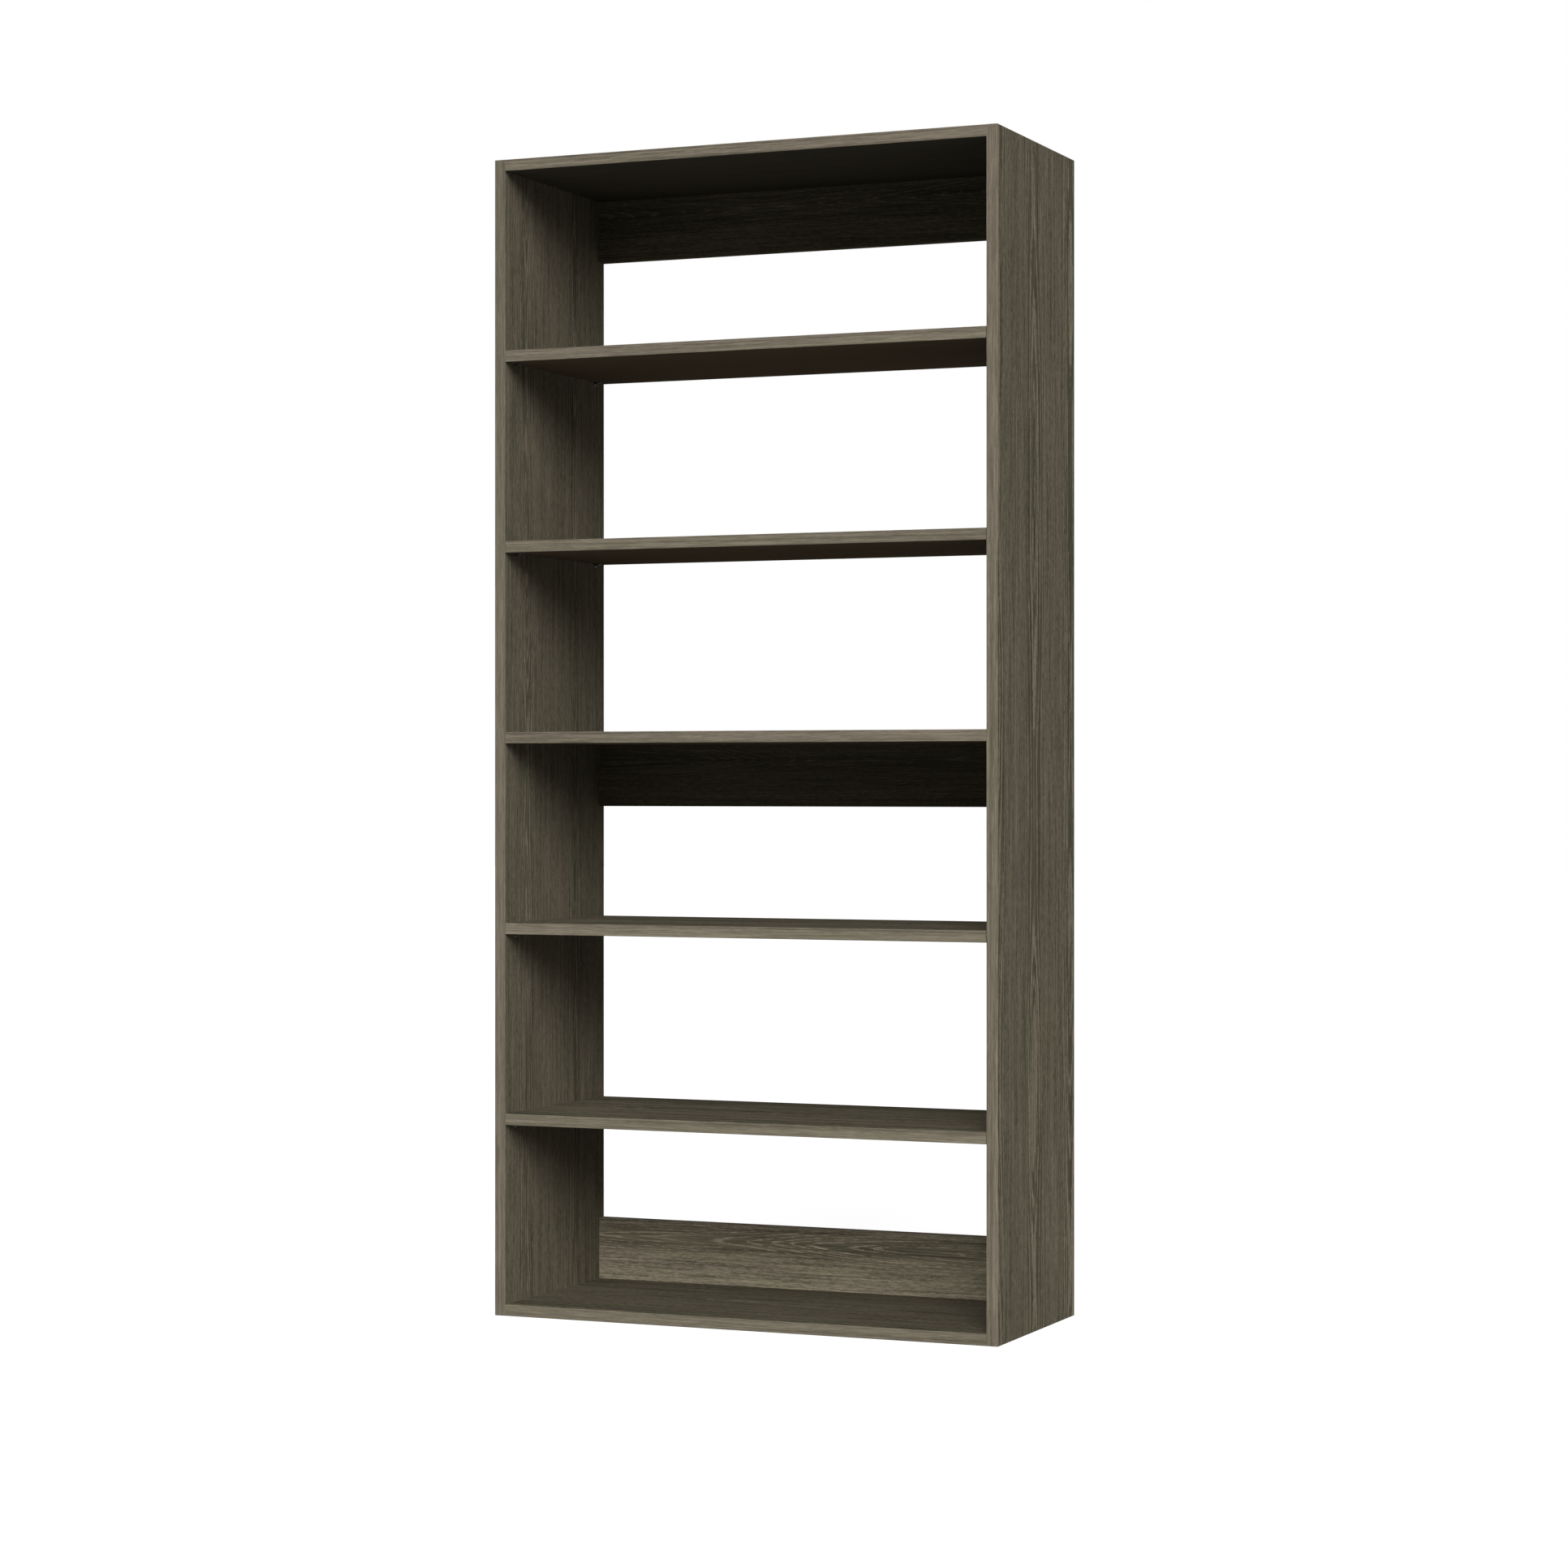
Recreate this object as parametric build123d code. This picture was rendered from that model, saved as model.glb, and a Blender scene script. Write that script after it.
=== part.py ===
from build123d import *
from collections import namedtuple
import math
import os

# An open-backed bookcase: two side panels, a top panel, a bottom panel and a fixed middle shelf
# between them, three rails across the back, and four shelves that rest on pull-out pins.
# Millimetres. The origin is on the floor in the middle of the footprint, +X runs to the right,
# the front faces -Y and +Z is up.

# Case
BOARD = 19.05                # laminated particle board, the same for every board
CASE_WIDTH = 895.35
CASE_DEPTH = 381.0
HOLE_PITCH = 32.0            # rise from one row of shelf-pin holes to the next
ROWS_PER_BAY = 10            # rows from one shelf to the next
BAYS_BELOW = 3               # bays under the fixed middle shelf
BAYS_ABOVE = 3               # bays over it
RAIL_HEIGHT = 107.0
SHELF_END_GAP = 0.75         # play between a loose shelf and each side panel

# Edge bands
BAND = 1.0                   # thickness
BAND_LAND = 0.2              # flat left beside the glue line, under the rounded corners

# Fits
TURNED_FIT = 0.05            # radial play of a round piece in its drilled hole

# Wooden dowels
DOWEL_BORE = 8.0
DOWEL_IN_SIDE = 12.0
DOWEL_IN_BOARD = 18.0
DOWEL_END_ROOM = 1.0         # room for glue at the board's end of the bore
DOWEL_CHAMFER = 0.8
DOWEL_INSET = 32.0           # from a panel's front and back edges
RAIL_DOWEL_OFFSET = 32.0     # above and below the rail's bolt

# Connecting bolts
THREAD_BORE = 5.0
THREAD_LENGTH = 11.0
THREAD_END_ROOM = 1.0
END_BORE = 8.0               # bore in the board's end, down to the cam lock
COLLAR_ROOM = 0.4            # radial room round the collar in the end bore
COLLAR_THICKNESS = 1.5
SHANK_ROOM = 1.0
HEAD_ROOM = 0.6
HEAD_LENGTH = 5.0
NECK_DIAMETER = 4.0
NECK_LEAD = 0.5              # neck showing between the shank and the cam lock
BOLT_INSET = 64.0            # from a panel's front and back edges

# Cam locks
CAM_DIAMETER = 15.0
CAM_AXIS = 34.0              # from the board's end
CAM_RECESS = 0.3             # below the board's face
CAM_FLOOR = 0.6
CAM_POCKET_ROOM = 0.3        # room round the bolt's head and neck inside the cam
CROSS_LENGTH = 6.5
CROSS_WIDTH = 1.3
CROSS_DEPTH = 2.0

# Shelf pins and their holes
PIN_HOLE = 5.0
PIN_HOLE_DEPTH = 13.0
PIN_COLUMN_INSET = 37.0      # from the side panel's front and back edges
ROWS_EITHER_WAY = 2          # spare rows over and under each adjustable shelf
PIN_SHANK_LENGTH = 9.0
PIN_CHAMFER = 0.5
PIN_COLLAR = 8.0
PIN_COLLAR_THICKNESS = 1.0
TONGUE_LENGTH = 12.5
TONGUE_WIDTH = 7.0
TONGUE_THICKNESS = 2.0
RIB_WIDTH = 1.6
RIB_DROP = 2.5               # reach of the rib below the pin's axis, at the collar

# Caps in the spare holes
CAP_STEM_LENGTH = 5.0
CAP_HEAD = 7.2
CAP_HEAD_THICKNESS = 0.35
CAP_CHAMFER = 0.2

# Worked out from the above
LEFT, RIGHT = -1, 1
UP, DOWN, BACKWARD = (0, 0, 1), (0, 0, -1), (0, 1, 0)
FRONT, BACK = -CASE_DEPTH / 2, CASE_DEPTH / 2
INSIDE = CASE_WIDTH / 2 - BOARD
BAY = ROWS_PER_BAY * HOLE_PITCH
MIDDLE_UNDERSIDE = BAYS_BELOW * BAY
TOP_UNDERSIDE = (BAYS_BELOW + BAYS_ABOVE) * BAY
CASE_HEIGHT = TOP_UNDERSIDE + BOARD
HEAD_RADIUS = END_BORE / 2 - HEAD_ROOM
HEAD_POCKET = HEAD_RADIUS + CAM_POCKET_ROOM
NECK_SLOT = NECK_DIAMETER / 2 + CAM_POCKET_ROOM
CAM_TOP = BOARD / 2 - CAM_RECESS
CAM_BOTTOM = -HEAD_POCKET - CAM_FLOOR
PIN_DROP = PIN_HOLE / 2      # from a shelf's underside down to the axis of its pins

FixedBoard = namedtuple("FixedBoard", "core bands bolts dowels cam_face")


def block(x, y, z):
    """A box between a low and a high value on each axis."""
    spans = (x, y, z)
    middle = [(low + high) / 2 for low, high in spans]
    return Pos(*middle) * Box(*[high - low for low, high in spans])


def turned(outline):
    """A solid turned about the x axis from the (x, radius) points of its outline."""
    first, last = outline[0][0], outline[-1][0]
    return revolve(make_face(Polyline((first, 0), *outline, (last, 0), close=True)), Axis.X)


def round_bar(diameter, start, end):
    """A plain cylinder along the x axis, a piece or the hole that takes one."""
    return turned([(start, diameter / 2), (end, diameter / 2)])


def edge_band(start, outward, along, length):
    """A strip glued on a board's edge from start, with its two outer corners rounded."""
    section = Rectangle(BOARD, BAND, align=(Align.CENTER, Align.MIN))
    section = fillet(section.vertices().group_by(Axis.Y)[-1], BAND - BAND_LAND)
    seat = Plane(origin=start, x_dir=Vector(outward).cross(Vector(along)), z_dir=along)
    return seat * extrude(section, length)


def end_frame(side, place, face):
    """A frame on a side panel's inner face: x runs into the case, z towards the cam's open face."""
    return Plane(origin=(side * INSIDE, *place), x_dir=(-side, 0, 0), z_dir=face)


def dowel():
    """A beech dowel, across the joint between a board's end and a side panel."""
    radius = DOWEL_BORE / 2 - TURNED_FIT
    return turned([
        (-DOWEL_IN_SIDE, radius - DOWEL_CHAMFER),
        (-DOWEL_IN_SIDE + DOWEL_CHAMFER, radius),
        (DOWEL_IN_BOARD - DOWEL_CHAMFER, radius),
        (DOWEL_IN_BOARD, radius - DOWEL_CHAMFER),
    ])


def connecting_bolt():
    """A steel bolt in the side panel, with the neck and head that the cam lock draws in."""
    thread = THREAD_BORE / 2 - TURNED_FIT
    collar = END_BORE / 2 - COLLAR_ROOM
    shank = END_BORE / 2 - SHANK_ROOM
    neck = NECK_DIAMETER / 2
    neck_start = CAM_AXIS - CAM_DIAMETER / 2 - NECK_LEAD
    head_start = CAM_AXIS - HEAD_LENGTH / 2
    head_end = CAM_AXIS + HEAD_LENGTH / 2
    return turned([
        (-THREAD_LENGTH, thread),
        (0, thread),
        (0, collar),
        (COLLAR_THICKNESS, collar),
        (COLLAR_THICKNESS, shank),
        (neck_start, shank),
        (neck_start, neck),
        (head_start, neck),
        (head_start, HEAD_RADIUS),
        (head_end, HEAD_RADIUS),
    ])


def cam_cylinder(diameter, bottom, top):
    """A cylinder on the cam lock's axis, between two heights over the middle of the board."""
    tall = Cylinder(diameter / 2, top - bottom, align=(Align.CENTER, Align.CENTER, Align.MIN))
    return Pos(CAM_AXIS, 0, bottom) * tall


def cam_lock():
    """A die-cast cam in its locked turn, with the bolt's head in its pocket."""
    rim = CAM_DIAMETER / 2
    pocket_radius = math.hypot(HEAD_LENGTH / 2, HEAD_RADIUS) + CAM_POCKET_ROOM
    body = cam_cylinder(CAM_DIAMETER, CAM_BOTTOM, CAM_TOP)
    pocket = cam_cylinder(2 * pocket_radius, -HEAD_POCKET, HEAD_POCKET)
    neck_slot = block((CAM_AXIS - rim, CAM_AXIS + rim), (-NECK_SLOT, rim), (-NECK_SLOT, NECK_SLOT))
    head_entry = block(
        (CAM_AXIS - HEAD_POCKET, CAM_AXIS + HEAD_POCKET), (0, rim), (-HEAD_POCKET, HEAD_POCKET)
    )
    bar = Box(CROSS_LENGTH, CROSS_WIDTH, CROSS_DEPTH, align=(Align.CENTER, Align.CENTER, Align.MAX))
    cross = [Pos(CAM_AXIS, 0, CAM_TOP) * Rot(0, 0, turn) * bar for turn in (0, 90)]
    return body - [pocket, neck_slot, head_entry, *cross]


def shelf_pin():
    """A spoon pin: its shank lies along -x in the side panel, its tongue under the shelf."""
    radius = PIN_HOLE / 2 - TURNED_FIT
    collar_radius = PIN_COLLAR / 2
    tongue_low = PIN_DROP - TONGUE_THICKNESS
    shank = turned([
        (-PIN_SHANK_LENGTH, radius - PIN_CHAMFER),
        (-PIN_SHANK_LENGTH + PIN_CHAMFER, radius),
        (PIN_COLLAR_THICKNESS, radius),
    ])
    collar = round_bar(PIN_COLLAR, 0, PIN_COLLAR_THICKNESS)
    above_shelf = block(
        (0, PIN_COLLAR_THICKNESS), (-collar_radius, collar_radius), (PIN_DROP, PIN_COLLAR)
    )
    outline = SlotOverall(2 * TONGUE_LENGTH, TONGUE_WIDTH)
    tongue = Pos(0, 0, tongue_low) * extrude(outline, TONGUE_THICKNESS)
    behind = block((-TONGUE_LENGTH, 0), (-TONGUE_WIDTH, TONGUE_WIDTH), (-PIN_COLLAR, PIN_COLLAR))
    rib_end = TONGUE_LENGTH - TONGUE_WIDTH / 2
    triangle = Polyline((0, tongue_low), (0, -RIB_DROP), (rib_end, tongue_low), close=True)
    rib = extrude(Plane.XZ * make_face(triangle), RIB_WIDTH / 2, both=True)
    return shank + (collar - above_shelf) + (tongue - behind) + rib


def hole_cap():
    """A push-in cap that closes a spare pin hole, its stem along -x."""
    stem = PIN_HOLE / 2 - TURNED_FIT
    head = CAP_HEAD / 2
    return turned([
        (-CAP_STEM_LENGTH, stem),
        (0, stem),
        (0, head),
        (CAP_HEAD_THICKNESS - CAP_CHAMFER, head),
        (CAP_HEAD_THICKNESS, head - CAP_CHAMFER),
    ])


def flat_core(half_length, underside):
    """The core of a flat board, between its two edge bands."""
    depth = (FRONT + BAND, BACK - BAND)
    return block((-half_length, half_length), depth, (underside, underside + BOARD))


def flat_bands(half_length, underside):
    """The bands on the front and back edges of a flat board."""
    height = underside + BOARD / 2
    return [
        edge_band((-half_length, FRONT + BAND, height), (0, -1, 0), (1, 0, 0), 2 * half_length),
        edge_band((-half_length, BACK - BAND, height), (0, 1, 0), (1, 0, 0), 2 * half_length),
    ]


def flat_panel(underside, cam_face):
    """A panel or shelf fixed across the whole depth of the case."""
    middle = underside + BOARD / 2
    bolts = [(FRONT + BOLT_INSET, middle), (BACK - BOLT_INSET, middle)]
    dowels = [(FRONT + DOWEL_INSET, middle), (BACK - DOWEL_INSET, middle)]
    core, bands = flat_core(INSIDE, underside), flat_bands(INSIDE, underside)
    return FixedBoard(core, bands, bolts, dowels, cam_face)


def back_rail(underside, open_edge):
    """A rail on edge, flush with the back of the case and banded where no panel covers it."""
    depth, middle, top = BACK - BOARD / 2, underside + RAIL_HEIGHT / 2, underside + RAIL_HEIGHT
    covered, glue_line = (underside, top - BAND) if open_edge == UP else (top, underside + BAND)
    core = block((-INSIDE, INSIDE), (BACK - BOARD, BACK), sorted((covered, glue_line)))
    band = edge_band((-INSIDE, depth, glue_line), open_edge, (1, 0, 0), 2 * INSIDE)
    dowels = [(depth, middle - RAIL_DOWEL_OFFSET), (depth, middle + RAIL_DOWEL_OFFSET)]
    return FixedBoard(core, [band], [(depth, middle)], dowels, BACKWARD)


def side_bands(side):
    """The front, back and top bands of a side panel."""
    centre = side * (CASE_WIDTH - BOARD) / 2
    along_top = (centre, FRONT + BAND, CASE_HEIGHT - BAND)
    return [
        edge_band((centre, FRONT + BAND, 0), (0, -1, 0), UP, CASE_HEIGHT),
        edge_band((centre, BACK - BAND, 0), (0, 1, 0), UP, CASE_HEIGHT),
        edge_band(along_top, UP, (0, 1, 0), CASE_DEPTH - 2 * BAND),
    ]


def side_core(side):
    """The core of a side panel, short of its bands, before it is drilled."""
    outside = sorted((side * INSIDE, side * CASE_WIDTH / 2))
    return block(outside, (FRONT + BAND, BACK - BAND), (0, CASE_HEIGHT - BAND))


def shelf_fits(row):
    """Whether a shelf on this row of holes clears the fixed boards and the rails."""
    underside = row * HOLE_PITCH
    below = BOARD + RAIL_HEIGHT <= underside <= MIDDLE_UNDERSIDE - RAIL_HEIGHT - BOARD
    above = MIDDLE_UNDERSIDE + BOARD <= underside <= TOP_UNDERSIDE - RAIL_HEIGHT - BOARD
    return below or above


def pin_frames(side, row):
    """The frames of the front and back pin holes of one row."""
    height = row * HOLE_PITCH - PIN_DROP
    columns = (FRONT + PIN_COLUMN_INSET, BACK - PIN_COLUMN_INSET)
    return [end_frame(side, (column, height), UP) for column in columns]


def placed(piece, frames):
    """One copy of a piece in each frame."""
    return [frame * piece for frame in frames]


FIXED_BOARDS = {
    "bottom_panel": flat_panel(0, DOWN),
    "middle_shelf": flat_panel(MIDDLE_UNDERSIDE, DOWN),
    "top_panel": flat_panel(TOP_UNDERSIDE, UP),
    "bottom_rail": back_rail(BOARD, UP),
    "middle_rail": back_rail(MIDDLE_UNDERSIDE - RAIL_HEIGHT, DOWN),
    "top_rail": back_rail(TOP_UNDERSIDE - RAIL_HEIGHT, DOWN),
}
SHELF_ROWS = [
    level * ROWS_PER_BAY for level in range(1, BAYS_BELOW + BAYS_ABOVE) if level != BAYS_BELOW
]
SPARE_ROWS = sorted({
    row + step
    for row in SHELF_ROWS
    for step in range(-ROWS_EITHER_WAY, ROWS_EITHER_WAY + 1)
    if row + step not in SHELF_ROWS and shelf_fits(row + step)
})

nodes = {}
drilled = {LEFT: [], RIGHT: []}

# Fixed boards, with the fastenings at both of their ends
cam_bore = cam_cylinder(CAM_DIAMETER + 2 * TURNED_FIT, CAM_BOTTOM, BOARD / 2)
bolt_bore = round_bar(END_BORE, 0, CAM_AXIS)
dowel_bore = round_bar(DOWEL_BORE, 0, DOWEL_IN_BOARD + DOWEL_END_ROOM)
thread_hole = round_bar(THREAD_BORE, -THREAD_LENGTH - THREAD_END_ROOM, 0)
dowel_hole = round_bar(DOWEL_BORE, -DOWEL_IN_SIDE, 0)
lock, bolt, peg = cam_lock(), connecting_bolt(), dowel()
for name, board in FIXED_BOARDS.items():
    bolt_frames, dowel_frames = [], []
    for side in (LEFT, RIGHT):
        bolts_here = [end_frame(side, place, board.cam_face) for place in board.bolts]
        dowels_here = [end_frame(side, place, board.cam_face) for place in board.dowels]
        drilled[side] += placed(thread_hole, bolts_here) + placed(dowel_hole, dowels_here)
        bolt_frames += bolts_here
        dowel_frames += dowels_here
    bores = placed(cam_bore, bolt_frames) + placed(bolt_bore, bolt_frames)
    nodes[name] = board.core - (bores + placed(dowel_bore, dowel_frames))
    nodes[f"{name}_edge_bands"] = Compound(children=board.bands)
    nodes[f"{name}_cam_locks"] = Compound(children=placed(lock, bolt_frames))
    nodes[f"{name}_bolts"] = Compound(children=placed(bolt, bolt_frames))
    nodes[f"{name}_dowels"] = Compound(children=placed(peg, dowel_frames))

# Adjustable shelves, numbered from the bottom up, and the two pins at each of their ends
pin = shelf_pin()
half_shelf = INSIDE - SHELF_END_GAP
for number, row in enumerate(SHELF_ROWS, start=1):
    underside = row * HOLE_PITCH
    nodes[f"adjustable_shelf_{number}"] = flat_core(half_shelf, underside)
    bands = flat_bands(half_shelf, underside)
    nodes[f"adjustable_shelf_{number}_edge_bands"] = Compound(children=bands)
    for side, hand in ((LEFT, "left"), (RIGHT, "right")):
        pins = placed(pin, pin_frames(side, row))
        nodes[f"shelf_{number}_{hand}_pins"] = Compound(children=pins)

# Side panels, drilled for every fastening and pin, and the caps in the spare holes
pin_hole = round_bar(PIN_HOLE, -PIN_HOLE_DEPTH, 0)
cap = hole_cap()
for side, hand in ((LEFT, "left"), (RIGHT, "right")):
    for row in SHELF_ROWS + SPARE_ROWS:
        drilled[side] += placed(pin_hole, pin_frames(side, row))
    spare_frames = [frame for row in SPARE_ROWS for frame in pin_frames(side, row)]
    nodes[f"{hand}_side_panel"] = side_core(side) - drilled[side]
    nodes[f"{hand}_side_panel_edge_bands"] = Compound(children=side_bands(side))
    nodes[f"{hand}_hole_caps"] = Compound(children=placed(cap, spare_frames))

os.makedirs("parts", exist_ok=True)
for name, shape in nodes.items():
    export_step(shape, f"parts/{name}.step")
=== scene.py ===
import math

import bpy
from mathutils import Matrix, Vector


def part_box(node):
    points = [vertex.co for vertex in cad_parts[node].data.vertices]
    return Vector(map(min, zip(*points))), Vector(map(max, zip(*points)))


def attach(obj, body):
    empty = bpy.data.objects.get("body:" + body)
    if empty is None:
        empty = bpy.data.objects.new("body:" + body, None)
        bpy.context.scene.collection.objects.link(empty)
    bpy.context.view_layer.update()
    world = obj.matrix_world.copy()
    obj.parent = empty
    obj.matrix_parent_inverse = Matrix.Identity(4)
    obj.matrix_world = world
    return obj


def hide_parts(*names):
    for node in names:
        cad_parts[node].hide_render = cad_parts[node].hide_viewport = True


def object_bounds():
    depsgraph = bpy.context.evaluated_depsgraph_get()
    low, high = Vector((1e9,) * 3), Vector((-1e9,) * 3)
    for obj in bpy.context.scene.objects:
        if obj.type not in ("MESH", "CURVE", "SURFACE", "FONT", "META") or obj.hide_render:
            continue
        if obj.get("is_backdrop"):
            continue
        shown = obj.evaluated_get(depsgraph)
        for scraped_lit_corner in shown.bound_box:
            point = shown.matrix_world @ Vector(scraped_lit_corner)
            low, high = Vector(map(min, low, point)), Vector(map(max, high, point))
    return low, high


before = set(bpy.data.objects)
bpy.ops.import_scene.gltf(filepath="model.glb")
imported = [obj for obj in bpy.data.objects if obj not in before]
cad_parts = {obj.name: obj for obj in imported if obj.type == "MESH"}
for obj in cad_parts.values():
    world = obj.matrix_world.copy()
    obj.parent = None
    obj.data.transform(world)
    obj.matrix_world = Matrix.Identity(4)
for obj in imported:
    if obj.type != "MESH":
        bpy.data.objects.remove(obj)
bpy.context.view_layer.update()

# ---------------------------------------------------------------------------------------------
# Side panels
# Two uprights of particle board, faced on both sides with a matt melamine film printed as gray
# brown oak. They are sawn with the grain upwards, drilled for every fastening, and carry the case.
# ---------------------------------------------------------------------------------------------


class Value:
    """What a shader socket gives. Python's operators on it add Math nodes."""

    def __init__(self, shading, socket):
        self.shading = shading
        self.socket = socket

    def output(self, name):
        """Another output of the same node."""
        return Value(self.shading, self.socket.node.outputs[name])

    def math(self, operation, *terms):
        return self.shading.add("ShaderNodeMath", {"operation": operation}, dict(enumerate(terms)))

    def __add__(self, other):
        return self.math("ADD", self, other)

    def __radd__(self, other):
        return self.math("ADD", other, self)

    def __sub__(self, other):
        return self.math("SUBTRACT", self, other)

    def __rsub__(self, other):
        return self.math("SUBTRACT", other, self)

    def __mul__(self, other):
        return self.math("MULTIPLY", self, other)

    def __rmul__(self, other):
        return self.math("MULTIPLY", other, self)

    def __truediv__(self, other):
        return self.math("DIVIDE", self, other)

    def __abs__(self):
        return self.math("ABSOLUTE", self)

    def root(self):
        return self.math("SQRT", self)

    def fraction(self):
        return self.math("FRACT", self)

    def whole(self):
        return self.math("FLOOR", self)

    def at_least(self, least):
        return self.math("MAXIMUM", self, least)

    def step(self, low, high):
        """0 below low, 1 above high and a smooth rise between them."""
        settings = {"interpolation_type": "SMOOTHSTEP"}
        sockets = {"Value": self, "From Min": low, "From Max": high}
        return self.shading.add("ShaderNodeMapRange", settings, sockets)


class Shading:
    """The shader nodes of a material, or of the surround."""

    def __init__(self, owner):
        owner.use_nodes = True
        owner.node_tree.nodes.clear()
        self.owner = owner

    def add(self, kind, settings=None, sockets=None):
        """A node of a kind. Its settings go first, then its sockets' values or links."""
        tree = self.owner.node_tree
        node = tree.nodes.new(kind)
        for name, setting in (settings or {}).items():
            setattr(node, name, setting)
        for name, value in (sockets or {}).items():
            if isinstance(value, Value):
                tree.links.new(value.socket, node.inputs[name])
            else:
                node.inputs[name].default_value = value
        return Value(self, node.outputs[0] if node.outputs else None)


class Finish(Shading):
    """A material in the making, laid out on a piece's Object coordinates."""

    def __init__(self, name):
        super().__init__(bpy.data.materials.new(name))
        self.place = self.add("ShaderNodeTexCoord").output("Object")
        self.axes = self.add("ShaderNodeSeparateXYZ", sockets={"Vector": self.place})

    def noise(self, x, y, z, detail=2.0, roughness=0.5):
        """Smooth noise of cells 1 wide, about 0.5 in the middle."""
        at = self.add("ShaderNodeCombineXYZ", sockets={"X": x, "Y": y, "Z": z})
        sockets = {"Vector": at, "Scale": 1.0, "Detail": detail, "Roughness": roughness}
        return self.add("ShaderNodeTexNoise", sockets=sockets)

    def mix(self, share, first, second):
        """A colour between two others."""
        mixed = self.add("ShaderNodeMix", {"data_type": "RGBA"}, {0: share, 6: first, 7: second})
        return mixed.output(2)

    def scaled(self, colour, by):
        return self.add("ShaderNodeVectorMath", {"operation": "SCALE"}, {0: colour, "Scale": by})

    def surface(self, colour, roughness, height, depth, **fixed):
        """The shader and the output. Fixed sockets are the same all over the surface."""
        bump = self.add("ShaderNodeBump", sockets={"Distance": depth, "Height": height})
        sockets = {"Base Color": colour, "Roughness": roughness, "Normal": bump}
        sockets |= {name.replace("_", " "): value for name, value in fixed.items()}
        shader = self.add("ShaderNodeBsdfPrincipled", sockets=sockets)
        self.add("ShaderNodeOutputMaterial", sockets={"Surface": shader})
        return self.owner


FACE_CHANGE = 60.0           # how fast the print changes through a board, so no two faces match
FIGURE_PITCH = 0.185         # from the middle of one cathedral figure to the next
FIGURE_FADE = 0.026          # over which a figure's rings fade into the straight grain beside it
GRAIN_WANDER = 0.006         # how far the grain strays aside along a board

# Width and length of the streaks of each kind
THREADS = (0.0044, 0.19)
FIBRES = (0.0024, 0.014)
DARK_LINES = (0.0026, 0.40)
PALE_LINES = (0.0022, 0.32)
UNEVEN = (0.025, 0.22)
PATCHES = (0.013, 0.09)
STRIPES = (0.017, 0.80)
HUES = (0.030, 0.30)


class Oak(Finish):
    """Printed oak: pale broken pores that gather in growth rings, on a dark smooth ground."""

    def __init__(self, name, along, across, through, start, figure, stretch=1.0):
        super().__init__(name)
        self.through = self.axes.output(through)
        self.face = self.through * FACE_CHANGE
        self.along = sum((self.axes.output(axis) for axis in along), start)
        self.stretch = stretch
        drift = self.noise(self.axes.output(across) * 9.0, self.face, self.along * 1.7)
        self.across = self.axes.output(across) - figure + (drift - 0.5) * GRAIN_WANDER

    def streaks(self, width, length, detail=2.0, roughness=0.5):
        """Noise drawn out along the grain, in streaks of a width and a length."""
        along = self.along / (length * self.stretch)
        return self.noise(self.across / width, self.face, along, detail, roughness)

    def print(self, inks, tone, rings, figured=1.0, contrast=1.0):
        """The print's colour and its pores' height.

        The growth rings are given by their pitch, by how flat they lie under the middle of a
        figure, by how far they climb and fall along the board, and by the pale share of each.
        """
        ring_pitch, flatness, ring_climb, pale = rings
        threads = self.streaks(*THREADS, detail=3.0, roughness=0.7)
        fibres = self.streaks(*FIBRES, detail=3.0, roughness=0.9).step(0.40, 0.60)
        dark_lines = self.streaks(*DARK_LINES).step(0.56, 0.65)
        pale_lines = self.streaks(*PALE_LINES).step(0.54, 0.66)

        cell = (self.across / FIGURE_PITCH + 0.5).whole()
        sway = self.noise(cell * 5.1, self.face + 4.0, self.along * 2.4) - 0.5
        aside = self.across - cell * FIGURE_PITCH + sway * (ring_pitch * 3.0)
        reach = aside / ring_pitch
        climb = self.noise(cell * 7.3, self.face + 11.0, self.along * 1.2, detail=1.0)
        uneven = self.streaks(*UNEVEN) + threads * 0.9
        arch = (reach * reach + flatness * flatness).root()
        turn = arch + climb * (ring_climb / ring_pitch) + uneven
        turn = turn + self.noise(turn * 0.55, cell * 3.1, self.face) * 2.6

        bold = self.noise(turn.whole() * 3.7, cell * 5.3, self.face).step(0.30, 0.62)
        nearness = abs(turn.fraction() - 0.5) * 2.0 + (fibres - 0.5) * 0.34 + (threads - 0.5) * 1.2
        ring = nearness.step(0.85 - pale, 1.15 - pale)
        half_width = ring_pitch * (1.6 + flatness * 0.5)
        middle = (1.0 - abs(aside).step(half_width, half_width + FIGURE_FADE)) * figured
        flames = middle * ring * (bold * 0.8 + 0.2)
        smooth = middle * (1.0 - ring)
        patches = self.streaks(*PATCHES, detail=3.0)
        stripes = self.streaks(*STRIPES, detail=1.0)

        # the ground's brightness, and how much each kind of mark adds to it or takes away
        brightness = (
            0.80
            + fibres * (0.38 - smooth * 0.30)
            + (threads - 0.5) * 1.00
            + (patches - 0.5) * 0.40
            + (stripes - 0.5) * 0.45
            + (ring - 0.35) * (1.0 - middle) * 0.12
            + flames * 0.46
            - smooth * 0.09
            + pale_lines * 0.18
            - dark_lines * 0.23
        )
        hue = self.streaks(*HUES) + (brightness - 1.0) * 0.16 - smooth * 0.12
        colour = self.mix(hue.step(0.32, 0.68), *inks)
        level = ((brightness - 1.0) * contrast + 1.0).at_least(0.4)
        return self.scaled(colour, level * tone), fibres


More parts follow.
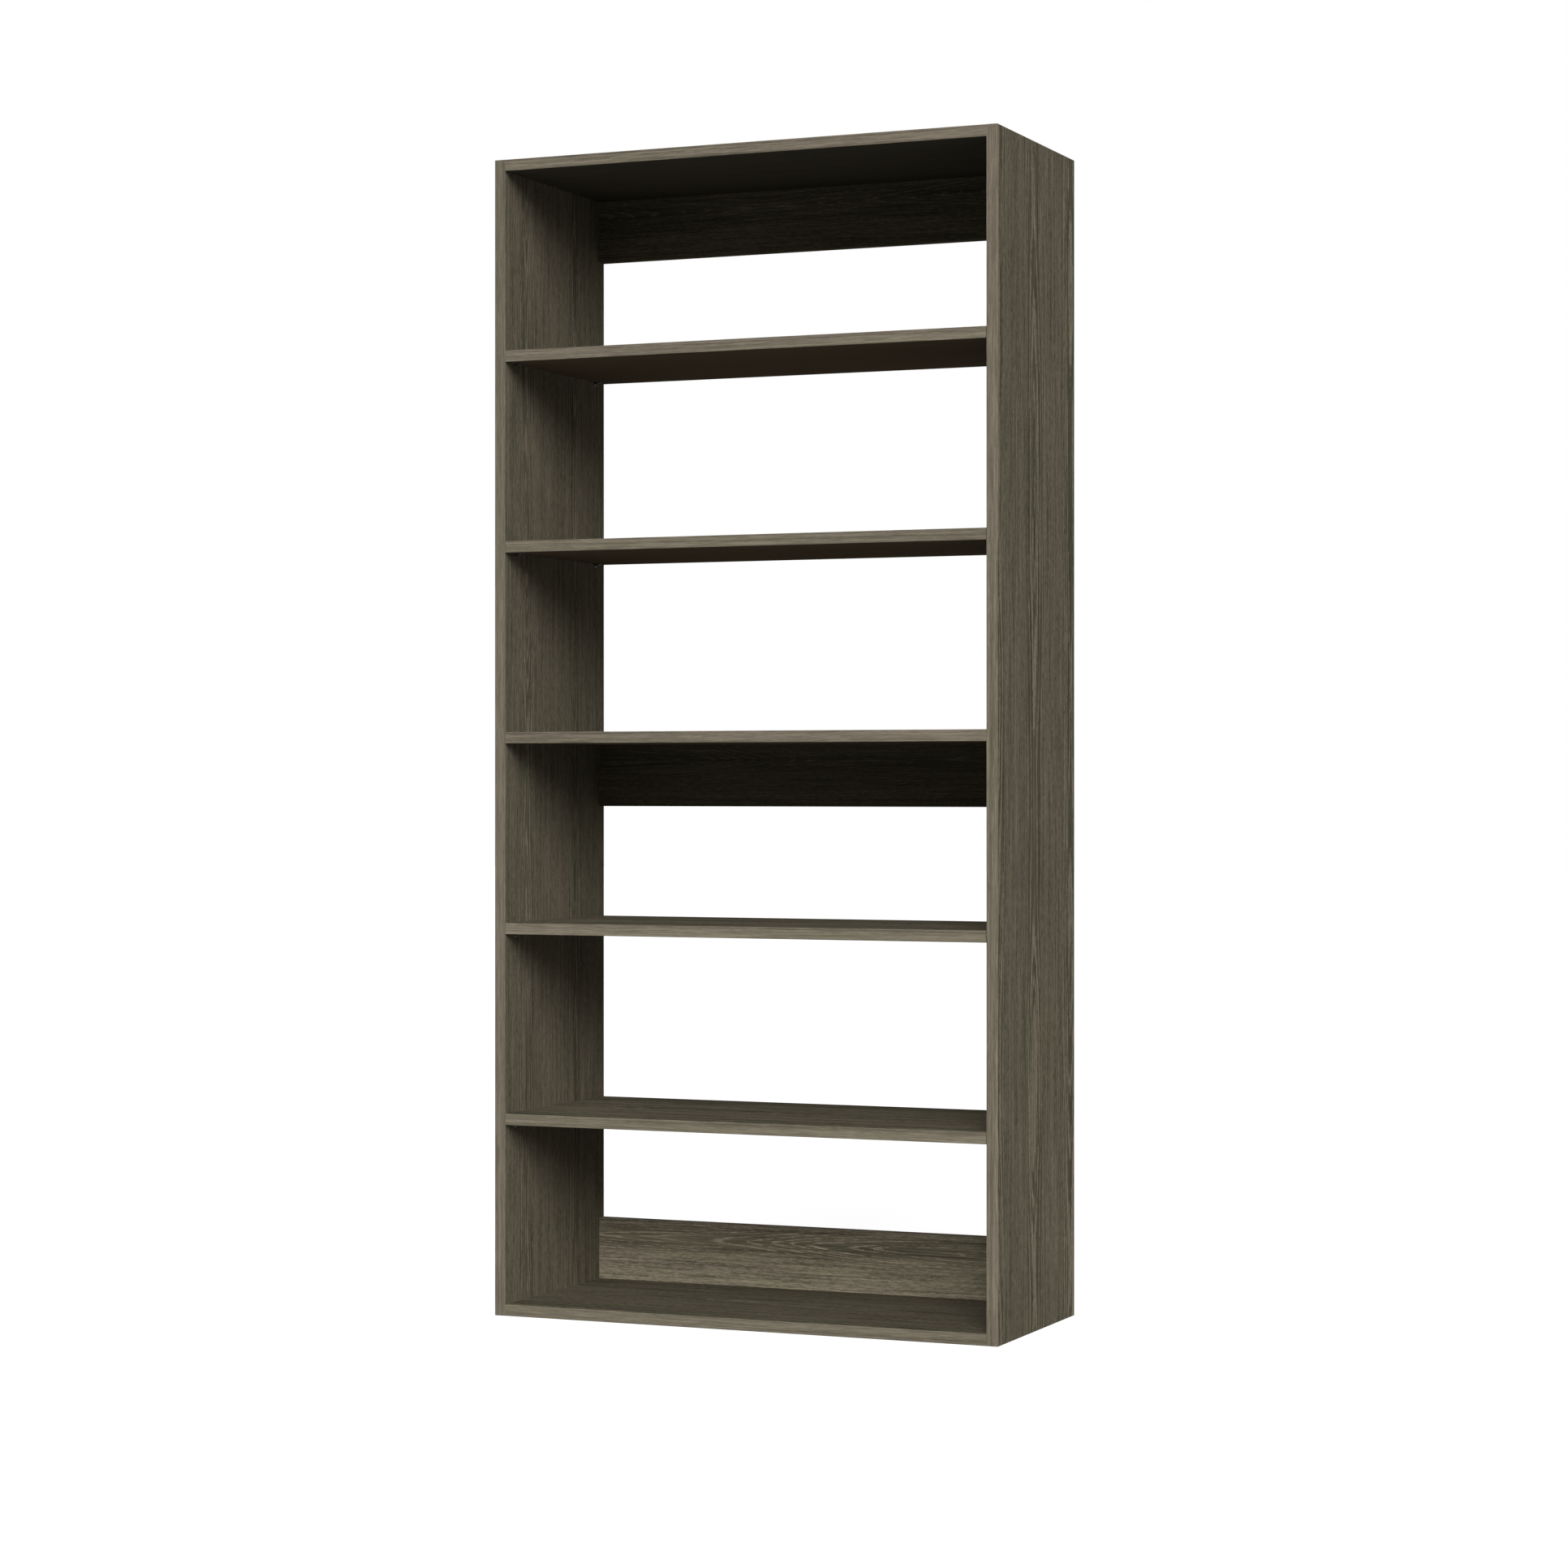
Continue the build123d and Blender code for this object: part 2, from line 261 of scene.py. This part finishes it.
FILM_INKS = ((0.1710, 0.155, 0.107, 1.0), (0.1815, 0.155, 0.114, 1.0))     # olive and beige
FILM_DEPTH = 0.00012
PORE_DEPTH = 0.00006
FILM_ROUGHNESS, PORE_GLOSS = 0.72, 0.12
BACKING_MOTTLE = (0.020, 0.30)             # width and length of its streaks
CHIPS_PER_METRE = 620.0
CHIP_COLOURS = ((0.20, 0.125, 0.065, 1.0), (0.52, 0.39, 0.24, 1.0))        # bark and pale wood


def laminate(name, grain, faces, start, figure, rings, tone=1.03, contrast=1.0, backing=None):
    """Film on both faces of a board, and raw particle board between them.

    The grain's axes are the one along it, the one across it and the one through the board. The
    film is printed, apart from a plain backing on the lower face where its colour is given.
    """
    oak = Oak(name, *grain, start, figure)
    film, pores = oak.print(FILM_INKS, tone, rings, contrast=contrast)
    if backing:
        printed = oak.through.step(*faces)
        mottle = (oak.streaks(*BACKING_MOTTLE) - 0.5) * 0.30 + 1.0
        film = oak.mix(printed, oak.scaled(backing, mottle), film)
        pores = pores * printed
    cells = {"Vector": oak.place, "Scale": CHIPS_PER_METRE}
    chips = oak.add("ShaderNodeTexVoronoi", sockets=cells)
    chip = oak.add("ShaderNodeSeparateXYZ", sockets={"Vector": chips.output("Color")})
    core = oak.mix(chip, *CHIP_COLOURS)
    low, high = faces
    middle, half = (low + high) / 2, (high - low) / 2
    faced = abs(oak.through - middle).step(half - 2 * FILM_DEPTH, half - FILM_DEPTH)
    colour = oak.mix(faced, core, film)
    roughness = FILM_ROUGHNESS - pores * PORE_GLOSS
    return oak.surface(colour, roughness, pores, PORE_DEPTH, Specular_IOR_Level=0.0)


def dress(node, material):
    """Gives a CAD node its finish."""
    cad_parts[node].data.materials[0] = material


# side, where its stretch of the print starts, the figure's middle, the growth rings and contrast
UPRIGHTS = (
    ("left", 0.46, -0.1105, (0.0060, 1.2, 0.16, 0.36), 0.9),
    ("right", 0.90, -0.0155, (0.0080, 2.4, 0.09, 0.42), 1.2),
)
for side, start, figure, rings, contrast in UPRIGHTS:
    low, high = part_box(f"{side}_side_panel")
    name = f"{side}_upright_laminate"
    finish = laminate(name, "ZYX", (low.x, high.x), start, figure, rings, contrast=contrast)
    dress(f"{side}_side_panel", finish)

# ---------------------------------------------------------------------------------------------
# Hole caps
# Push-in plastic caps over the spare pin holes, printed with the same oak as the side panels, so
# that the print runs on over them and they hardly show.
# ---------------------------------------------------------------------------------------------
for side in ("left", "right"):
    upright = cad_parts[f"{side}_side_panel"].data.materials[0]
    dress(f"{side}_hole_caps", upright)

# ---------------------------------------------------------------------------------------------
# Edge bands of the side panels
# ABS strip, a millimetre thick, printed like the film with a long straight grain. It is glued on
# every edge that shows, and its two outer corners are scraped round.
# ---------------------------------------------------------------------------------------------
BAND_INKS = ((0.1735, 0.155, 0.1120, 1.0), (0.1815, 0.155, 0.1185, 1.0))
BAND_RINGS = (0.0060, 0.5, 0.16, 0.33)
BAND_PORE_DEPTH = 0.00005
BAND_ROUGHNESS, BAND_PORE_GLOSS = 0.70, 0.10
BAND_TONE = 1.11
BAND_STRETCH = 4.0           # how much longer its grain is than the film's
BAND_FIGURE = 0.06           # how far the figure's middle lies aside, off the strip
SCRAPE_AND_HIGHLIGHT = 1.4                # how much paler the uprights' band corners are: scraper whitening and a painted highlight


def banding(name, grain, start, figure, tone, scrape_and_highlight=1.0):
    """Printed strip with straight grain along its length.

    Strips that run in two directions have two axes along their grain. The corners that face the
    front and the top are paler than the print, by a factor: scraper whitening and a painted
    highlight.
    """
    oak = Oak(name, *grain, start, figure, BAND_STRETCH)
    film, pores = oak.print(BAND_INKS, tone, BAND_RINGS, figured=0.3, contrast=0.8)
    facing = oak.add("ShaderNodeSeparateXYZ", sockets={"Vector": oak.place.output("Normal")})
    x, z = abs(facing.output("X")), abs(facing.output("Z"))
    front = (facing.output("Y") * -1.0).at_least(0.0)
    # corners facing the front and the top, made paler: scraper whitening and a painted highlight
    scraped_lit_corner = (x * front + front * z + z * x).step(0.12, 0.35)
    film = oak.scaled(film, scraped_lit_corner * (scrape_and_highlight - 1.0) + 1.0)
    roughness = BAND_ROUGHNESS - pores * BAND_PORE_GLOSS
    return oak.surface(film, roughness, pores, BAND_PORE_DEPTH, Specular_IOR_Level=0.0)


# side, where its stretch of the print starts, and tone
UPRIGHT_BANDS = (("left", 0.13, 0.95), ("right", 1.91, 1.06))
for side, start, tone in UPRIGHT_BANDS:
    finish = banding(f"{side}_band", ("ZY", "X", "X"), start, BAND_FIGURE, tone, SCRAPE_AND_HIGHLIGHT)
    dress(f"{side}_side_panel_edge_bands", finish)

# ---------------------------------------------------------------------------------------------
# Connecting bolts
# Steel bolts, zinc plated, screwed into the side panels before the boards are offered up. A coarse
# thread bites in the particle board, and the head beyond the thin neck is what the cam draws in.
# ---------------------------------------------------------------------------------------------
INSIDE = -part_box("left_side_panel")[1].x     # from the middle of the case to a side panel
SMOOTH_ANGLE = math.radians(35)
STEPS_IN_A_TURN = 20


def only(*pieces):
    """Selects these pieces and nothing else, with the first one active."""
    bpy.ops.object.select_all(action="DESELECT")
    for piece in pieces:
        piece.select_set(True)
    bpy.context.view_layer.objects.active = pieces[0]


def outwards():
    """Turns all faces of the piece in edit mode outwards, and leaves edit mode."""
    bpy.ops.mesh.select_all(action="SELECT")
    bpy.ops.mesh.normals_make_consistent(inside=False)
    bpy.ops.object.mode_set(mode="OBJECT")


def turned(stations, facets):
    """A round piece on the x axis, drawn out through (place, radius) from one end to the other."""
    bpy.ops.object.select_all(action="DESELECT")
    place, radius = stations[0]
    upright = (0, math.radians(90), 0)
    bpy.ops.mesh.primitive_circle_add(
        vertices=facets, radius=radius, fill_type="NGON", location=(place, 0, 0), rotation=upright
    )
    bpy.ops.object.transform_apply(location=True, rotation=True)
    bpy.ops.object.mode_set(mode="EDIT")
    bpy.ops.mesh.select_all(action="SELECT")
    for further, wider in stations[1:]:
        bpy.ops.mesh.extrude_region_move(TRANSFORM_OT_translate={"value": (further - place, 0, 0)})
        growth = wider / radius
        bpy.ops.transform.resize(value=(1, growth, growth), center_override=(further, 0, 0))
        place, radius = further, wider
    outwards()
    return bpy.context.object


def joined(*pieces):
    """The pieces as one object, with its flat and its round faces shaded as such."""
    only(*pieces)
    bpy.ops.object.join()
    bpy.ops.object.shade_smooth_by_angle(angle=SMOOTH_ANGLE)
    return bpy.context.object


def thread(start, end, radius, depth, pitch):
    """A helical ridge on the x axis, closed at both ends."""
    bpy.ops.object.select_all(action="DESELECT")
    bpy.ops.mesh.primitive_circle_add(
        vertices=3, radius=depth, fill_type="NOTHING", location=(start, 0, radius - depth),
        rotation=(math.radians(90), 0, 0),
    )
    bpy.ops.object.transform_apply(location=True, rotation=True)
    ridge = bpy.context.object
    screw = ridge.modifiers.new("turns", "SCREW")
    turns = (end - start) / pitch
    screw.axis = "X"
    screw.angle = turns * math.tau
    screw.screw_offset = end - start
    screw.steps = screw.render_steps = int(turns * STEPS_IN_A_TURN)
    bpy.ops.object.modifier_apply(modifier=screw.name)
    bpy.ops.object.mode_set(mode="EDIT")
    bpy.ops.mesh.select_all(action="SELECT")
    bpy.ops.mesh.fill_holes(sides=3)
    outwards()
    return ridge


def spots(node):
    """Where the fasteners of a node are: the side, -1 or 1, and the y and z of each axis."""
    low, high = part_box(node)
    radius = min(high.y - low.y, high.z - low.z) / 2
    rows = sorted({round(low.y + radius, 5), round(high.y - radius, 5)})
    heights = sorted({round(low.z + radius, 5), round(high.z - radius, 5)})
    return [(side, y, z) for side in (-1, 1) for y in rows for z in heights]


def set_out(pattern, node, places, finish, body="carcass"):
    """Copies of a fastener in their places, joined in the one piece that stands for a node."""
    copies = []
    for side, y, z in places:
        only(pattern)
        bpy.ops.object.duplicate()
        copy = bpy.context.object
        copy.location = (side * INSIDE, y, z)
        copy.rotation_euler = (0, 0, 0 if side < 0 else math.pi)
        copies.append(copy)
    only(*copies)
    bpy.ops.object.transform_apply(location=True, rotation=True)
    bpy.ops.object.join()
    piece = bpy.context.object
    piece.name = f"{node}_detailed"
    piece.data.materials.clear()
    piece.data.materials.append(finish)
    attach(piece, body)
    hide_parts(node)


def metal(name, colour, worn, roughness, grain, depth, metallic=1.0):
    """Bare or painted metal with an uneven surface of a grain size, and wider clouds of wear."""
    finish = Finish(name)
    x, y, z = (finish.axes.output(axis) / grain for axis in "XYZ")
    uneven = finish.noise(x, y, z, detail=4.0, roughness=0.65)
    clouds = finish.noise(x * 0.12, y * 0.12, z * 0.12, detail=2.0)
    tint = finish.mix(clouds.step(0.35, 0.65), colour, worn)
    rough = (uneven - 0.5) * 0.35 + roughness
    return finish.surface(tint, rough, uneven, depth, Metallic=metallic)


FIXED_BOARDS = (
    "bottom_panel", "middle_shelf", "top_panel", "bottom_rail", "middle_rail", "top_rail"
)

# place along the axis from the side panel's face, and radius, from the point to the head
BOLT_STATIONS = [
    (-0.0110, 0.0011), (-0.0100, 0.0019), (0.0, 0.0019), (0.0, 0.0034), (0.0002, 0.0036),
    (0.0013, 0.0036), (0.0015, 0.0034), (0.0015, 0.0030), (0.0255, 0.0030), (0.0260, 0.0025),
    (0.0260, 0.0020), (0.0315, 0.0020), (0.0315, 0.0030), (0.0319, 0.0034), (0.0361, 0.0034),
    (0.0365, 0.0030),
]
bolt = joined(
    turned(BOLT_STATIONS, facets=32),
    thread(start=-0.0102, end=-0.0006, radius=0.00244, depth=0.0008, pitch=0.0024),
)
ZINC, DULL_ZINC = (0.66, 0.67, 0.68, 1.0), (0.60, 0.58, 0.52, 1.0)
plated = metal("zinc_plate", ZINC, DULL_ZINC, roughness=0.34, grain=0.0006, depth=0.00001)
for board in FIXED_BOARDS:
    set_out(bolt, f"{board}_bolts", spots(f"{board}_bolts"), plated)
bpy.data.objects.remove(bolt)

# ---------------------------------------------------------------------------------------------
# Wooden dowels
# Beech pegs glued in the boards' ends. They place each joint and stop it turning. Fluted along
# their length, so that air and glue can leave the hole, and chamfered at both ends.
# ---------------------------------------------------------------------------------------------
FLUTES = 16
FLUTE_SHARE = 0.92           # of the radius, at the bottom of a flute
DOWEL_STATIONS = [(-0.0120, 0.0030), (-0.0112, 0.00395), (0.0172, 0.00395), (0.0180, 0.0030)]
BEECH, DARK_BEECH = (0.60, 0.41, 0.245, 1.0), (0.47, 0.29, 0.155, 1.0)
BEECH_FLECKS = (0.36, 0.20, 0.10, 1.0)


def pick_vertices(piece, wanted):
    """Enters edit mode with those vertices of a piece selected that pass a test."""
    bpy.ops.object.mode_set(mode="EDIT")
    bpy.ops.mesh.select_mode(type="VERT")
    bpy.ops.mesh.select_all(action="DESELECT")
    bpy.ops.object.mode_set(mode="OBJECT")
    for vertex in piece.data.vertices:
        vertex.select = wanted(vertex.co)
    bpy.ops.object.mode_set(mode="EDIT")


def in_flute(place):
    """Whether a point of the dowel is at the bottom of a flute, as every fourth one round is."""
    turn = math.atan2(place.z, place.y) / math.tau * 4 * FLUTES
    return round(turn) % 4 == 0


def beech():
    finish = Finish("beech")
    x, y, z = (finish.axes.output(axis) for axis in "XYZ")
    grain = finish.noise(x / 0.006, y / 0.0007, z / 0.0007, detail=3.0, roughness=0.6)
    flecks = finish.noise(x / 0.0016, y / 0.0003, z / 0.0003).step(0.60, 0.70)
    wood = finish.mix(grain.step(0.35, 0.65), DARK_BEECH, BEECH)
    colour = finish.mix(flecks, wood, BEECH_FLECKS)
    return finish.surface(colour, 0.62 - grain * 0.10, grain, 0.00008, Specular_IOR_Level=0.3)


dowel = turned(DOWEL_STATIONS, facets=4 * FLUTES)
pick_vertices(dowel, in_flute)
bpy.ops.transform.resize(value=(1, FLUTE_SHARE, FLUTE_SHARE), center_override=(0, 0, 0))
bpy.ops.object.mode_set(mode="OBJECT")
peg = joined(dowel)
wood = beech()
for board in FIXED_BOARDS:
    set_out(peg, f"{board}_dowels", spots(f"{board}_dowels"), wood)
bpy.data.objects.remove(peg)

# ---------------------------------------------------------------------------------------------
# Fixed boards
# The bottom panel, middle shelf and top panel: the same board laid flat, with the grain from side
# to side and a plain backing film below. Dowels place them and cam locks hold them in the case.
# ---------------------------------------------------------------------------------------------
# The flat boards' print is darker than the uprights': painted shade on their tops.
FLAT_SHADED_TONE, FLAT_CONTRAST = 0.64, 1.2
BOARD_RINGS = (0.0055, 1.2, 0.16, 0.33)
# backing film under the bottom panel and the shelves; its warm brown is partly a painted
# reflection
BROWN_BACKING_AND_REFLECTION = (0.1460, 0.1120, 0.0770)
PLAIN_OLIVE = (0.0880, 0.0795, 0.0612)
FIRST_START, NEXT_START = 0.71, 1.37       # along the print, to the first board and the next one
FIGURE_SWING = 0.050                       # how far the figure's middle lies from a board's
FLAT_BAND_AHEAD = 0.4                      # along the print, from a board's start to its bands'
FLAT_BAND_FIGURE = 0.07


def flat_board(node, count, backing):
    """Film and bands for a board that lies flat. Each has its own stretch of the print."""
    low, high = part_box(node)
    start = FIRST_START + NEXT_START * count
    figure = FIGURE_SWING * math.sin(2.1 * count)
    finish = laminate(
        f"{node}_laminate", "XYZ", (low.z, high.z), start, figure, BOARD_RINGS, FLAT_SHADED_TONE,
        FLAT_CONTRAST, backing,
    )
    dress(node, finish)
    ahead, aside = start + FLAT_BAND_AHEAD, low.z + FLAT_BAND_FIGURE
    dress(f"{node}_edge_bands", banding(f"{node}_band", "XZY", ahead, aside, BAND_TONE))


FLAT_BOARDS = (
    ("bottom_panel", BROWN_BACKING_AND_REFLECTION),
    ("middle_shelf", BROWN_BACKING_AND_REFLECTION),
    ("top_panel", PLAIN_OLIVE),
)
for count, (node, backing) in enumerate(FLAT_BOARDS):
    flat_board(node, count, backing)

# ---------------------------------------------------------------------------------------------
# Rails
# Three strips of the board on edge across the back. They keep the case square, and the wall
# fixings go through them. The cathedral figure of the print shows on them.
# ---------------------------------------------------------------------------------------------
RAIL_RINGS = (0.0046, 1.0, 0.16, 0.26)
FIGURE_HEIGHT = 0.74         # of the figure's middle, as a share of the rail's height
# The rails' tones are painted light on the bottom rail and painted shade on the middle and top
# ones, film and bands alike.
# node, where its stretch of the print starts, tone and contrast
RAILS = (
    ("bottom_rail", 1.98, 1.50, 1.1),
    ("middle_rail", 4.49, 0.70, 0.8),
    ("top_rail", 5.68, 0.79, 1.0),
)
for node, start, tone, contrast in RAILS:
    low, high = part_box(node)
    figure = low.z + FIGURE_HEIGHT * (high.z - low.z)
    name, faces = f"{node}_laminate", (low.y, high.y)
    dress(node, laminate(name, "XZY", faces, start, figure, RAIL_RINGS, tone, contrast))
    aside = low.y + BAND_FIGURE
    dress(f"{node}_edge_bands", banding(f"{node}_band", "XYZ", start, aside, tone))

# ---------------------------------------------------------------------------------------------
# Cam locks
# Die-cast zinc cylinders, sunk in the boards' hidden faces and turned half round with a cross-head
# screwdriver, which draws the bolts' heads in. The casting is dull and slightly pitted.
# ---------------------------------------------------------------------------------------------
CAST_ZINC, PITTED_ZINC = (0.38, 0.38, 0.39, 1.0), (0.28, 0.28, 0.28, 1.0)
cast = metal("cast_zinc", CAST_ZINC, PITTED_ZINC, roughness=0.50, grain=0.0009, depth=0.00004)
for board in FIXED_BOARDS:
    dress(f"{board}_cam_locks", cast)

# ---------------------------------------------------------------------------------------------
# Shelf pins
# Spoon pins of steel, in dark bronze enamel, two at each end of a loose shelf. The shank slides in
# a hole of the side panel up to the collar, and the shelf lies on the tongue.
# ---------------------------------------------------------------------------------------------
PIN_AXIS_DROP = 0.0025       # from the shelf's underside to the pin's axis
PIN_TOP = PIN_AXIS_DROP - 0.00005        # a hair of room under the shelf
COLLAR_RADIUS = 0.0040
COLLAR_STATIONS = [
    (0.0, 0.0039), (0.0001, COLLAR_RADIUS), (0.0008, COLLAR_RADIUS), (0.0010, 0.0038)
]
SHANK_STATIONS = [(-0.0090, 0.0018), (-0.0088, 0.0022), (-0.0084, 0.00245), (0.0005, 0.00245)]
TONGUE_ROOT, TONGUE_REACH = 0.0005, 0.0125
TONGUE_RADIUS = 0.0035
TONGUE_THICKNESS = 0.0020
RIB_LENGTH, RIB_WIDTH, RIB_HEIGHT = 0.0085, 0.0016, 0.0035
RIB_START, RIB_TOP, RIB_TIP_HEIGHT = 0.0004, 0.0010, 0.0004
EDGE_ROUNDING = 0.0002


def softened(piece):
    """Rounds a piece's sharp edges."""
    only(piece)
    bevel = piece.modifiers.new("soft", "BEVEL")
    bevel.width = EDGE_ROUNDING
    bevel.segments = 2
    bevel.limit_method = "ANGLE"
    bevel.angle_limit = math.radians(40)
    bpy.ops.object.modifier_apply(modifier=bevel.name)
    return piece


def pin_tongue():
    """The flat tongue, rounded at its end."""
    bpy.ops.object.select_all(action="DESELECT")
    centre = TONGUE_REACH - TONGUE_RADIUS
    bpy.ops.mesh.primitive_circle_add(
        vertices=40, radius=TONGUE_RADIUS, fill_type="NGON",
        location=(centre, 0, PIN_TOP - TONGUE_THICKNESS),
    )
    bpy.ops.object.transform_apply(location=True)
    tongue = bpy.context.object
    pick_vertices(tongue, lambda place: place.x < centre - 0.0001)
    bpy.ops.transform.resize(value=(0, 1, 1), center_override=(TONGUE_ROOT, 0, 0))
    bpy.ops.mesh.select_all(action="SELECT")
    bpy.ops.mesh.extrude_region_move(TRANSFORM_OT_translate={"value": (0, 0, TONGUE_THICKNESS)})
    outwards()
    return softened(tongue)


def pin_rib():
    """The web under the tongue, deepest at the collar."""
    bpy.ops.object.select_all(action="DESELECT")
    centre = (RIB_START + RIB_LENGTH / 2, 0, RIB_TOP - RIB_HEIGHT / 2)
    bpy.ops.mesh.primitive_cube_add(
        size=1, scale=(RIB_LENGTH, RIB_WIDTH, RIB_HEIGHT), location=centre
    )
    bpy.ops.object.transform_apply(location=True, scale=True)
    rib = bpy.context.object
    pick_vertices(rib, lambda place: place.x > RIB_LENGTH / 2 and place.z < 0)
    bpy.ops.transform.translate(value=(0, 0, RIB_HEIGHT - RIB_TIP_HEIGHT))
    bpy.ops.object.mode_set(mode="OBJECT")
    return softened(rib)


def pin_collar():
    """The collar, cut off level with the tongue so that it stays under the shelf."""
    collar = turned(COLLAR_STATIONS, facets=40)
    bpy.ops.object.mode_set(mode="EDIT")
    bpy.ops.mesh.select_all(action="SELECT")
    bpy.ops.mesh.bisect(
        plane_co=(0, 0, PIN_TOP), plane_no=(0, 0, 1), use_fill=True, clear_outer=True
    )
    bpy.ops.object.mode_set(mode="OBJECT")
    return collar


pin = joined(turned(SHANK_STATIONS, facets=32), pin_collar(), pin_tongue(), pin_rib())
DARK_BRONZE, BRONZE = (0.050, 0.043, 0.034, 1.0), (0.062, 0.052, 0.040, 1.0)
enamel = metal(
    "bronze_enamel", DARK_BRONZE, BRONZE, roughness=0.42, grain=0.0011, depth=0.00002, metallic=0.0
)
for number in (1, 2, 3, 4):
    for hand, side in (("left", -1), ("right", 1)):
        node = f"shelf_{number}_{hand}_pins"
        low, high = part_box(node)
        rows = (low.y + COLLAR_RADIUS, high.y - COLLAR_RADIUS)
        places = [(side, y, high.z - PIN_AXIS_DROP) for y in rows]
        set_out(pin, node, places, enamel, f"shelf_{number}_{hand}_pin_pair")
bpy.data.objects.remove(pin)

# ---------------------------------------------------------------------------------------------
# Adjustable shelves
# Four loose boards like the fixed ones, each a little shorter than the room between the side
# panels. They lift off their pins and go back in at another row of holes.
# ---------------------------------------------------------------------------------------------
for number in (1, 2, 3, 4):
    flat_board(f"adjustable_shelf_{number}", 2 + number, BROWN_BACKING_AND_REFLECTION)

# ---------------------------------------------------------------------------------------------
# Studio
# A plain pale floor in a white surround that lights the case little. A broad soft lamp shines from
# the front, a weaker one from the right, and another low one from behind.
# ---------------------------------------------------------------------------------------------
AMBIENT = 0.074              # the surround's light on the case, where 1 is the white behind it
WHITE = (1.0, 1.0, 1.0, 1.0)
FLOOR_SPAN = 60.0
FLOOR_DROP = 0.0005          # below the case, so that the two don't touch
FLOOR_GLOW = 0.90
FLOOR_GRAY = (0.30, 0.30, 0.30, 1.0)


def background_share(shading):
    """1 for camera, glossy and transmission rays, and 0 for diffuse ones."""
    path = shading.add("ShaderNodeLightPath")
    seen = path.output("Is Camera Ray").at_least(path.output("Is Glossy Ray"))
    return seen.at_least(path.output("Is Transmission Ray"))


bpy.context.scene.world = bpy.data.worlds.new("surround")
surround = Shading(bpy.context.scene.world)
strength = background_share(surround) * (1.0 - AMBIENT) + AMBIENT
glow = surround.add("ShaderNodeBackground", sockets={"Color": WHITE, "Strength": strength})
surround.add("ShaderNodeOutputWorld", sockets={"Surface": glow})

bpy.ops.object.select_all(action="DESELECT")
bpy.ops.mesh.primitive_plane_add(size=FLOOR_SPAN, location=(0, 0, -FLOOR_DROP))
floor = bpy.context.object
floor.name = "floor"
bpy.ops.object.transform_apply(location=True)
floor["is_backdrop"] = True
paint = Shading(bpy.data.materials.new("pale_floor"))
glow = paint.add("ShaderNodeEmission", sockets={"Color": WHITE, "Strength": FLOOR_GLOW})
dull = paint.add("ShaderNodeBsdfDiffuse", sockets={"Color": FLOOR_GRAY})
both = paint.add("ShaderNodeAddShader", sockets={0: glow, 1: dull})
pick = paint.add("ShaderNodeMixShader", sockets={0: background_share(paint), 1: dull, 2: both})
paint.add("ShaderNodeOutputMaterial", sockets={"Surface": pick})
floor.data.materials.append(paint.owner)

# name, degrees round from the front by the right, degrees above the horizon, degrees that the
# lamp spans, and its light on a surface that faces it
LAMPS = (
    ("key_lamp", 18.0, 33.0, 35.0, 0.875),
    ("side_lamp", 60.0, 25.0, 42.0, 0.20),
    ("rear_lamp", 190.0, 12.0, 20.0, 0.25),
)
for name, round_from_front, above, span, light in LAMPS:
    lamp = bpy.data.lights.new(name, "SUN")
    lamp.angle = math.radians(span)
    lamp.energy = light * math.pi
    holder = bpy.data.objects.new(name, lamp)
    bpy.context.collection.objects.link(holder)
    turn, rise = math.radians(round_from_front), math.radians(above)
    level = math.cos(rise)
    towards = Vector((math.sin(turn) * level, -math.cos(turn) * level, math.sin(rise)))
    holder.rotation_euler = towards.to_track_quat("Z", "Y").to_euler()

# ---------------------------------------------------------------------------------------------
# Camera
# A long lens, held level at about half the case's height. It stands some 6 metres off, to the
# right of the front.
# ---------------------------------------------------------------------------------------------
camera = bpy.data.objects.new("camera", bpy.data.cameras.new("camera"))
bpy.context.collection.objects.link(camera)
camera.data.lens = 85.0
camera.data.sensor_width = 36.0
camera.location = (2.4307, -5.7222, 0.8920)
camera.rotation_euler = (math.radians(90.0), 0.0, math.radians(23.025))
bpy.context.scene.camera = camera
bpy.context.scene.view_settings.view_transform = "Standard"

low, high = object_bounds()
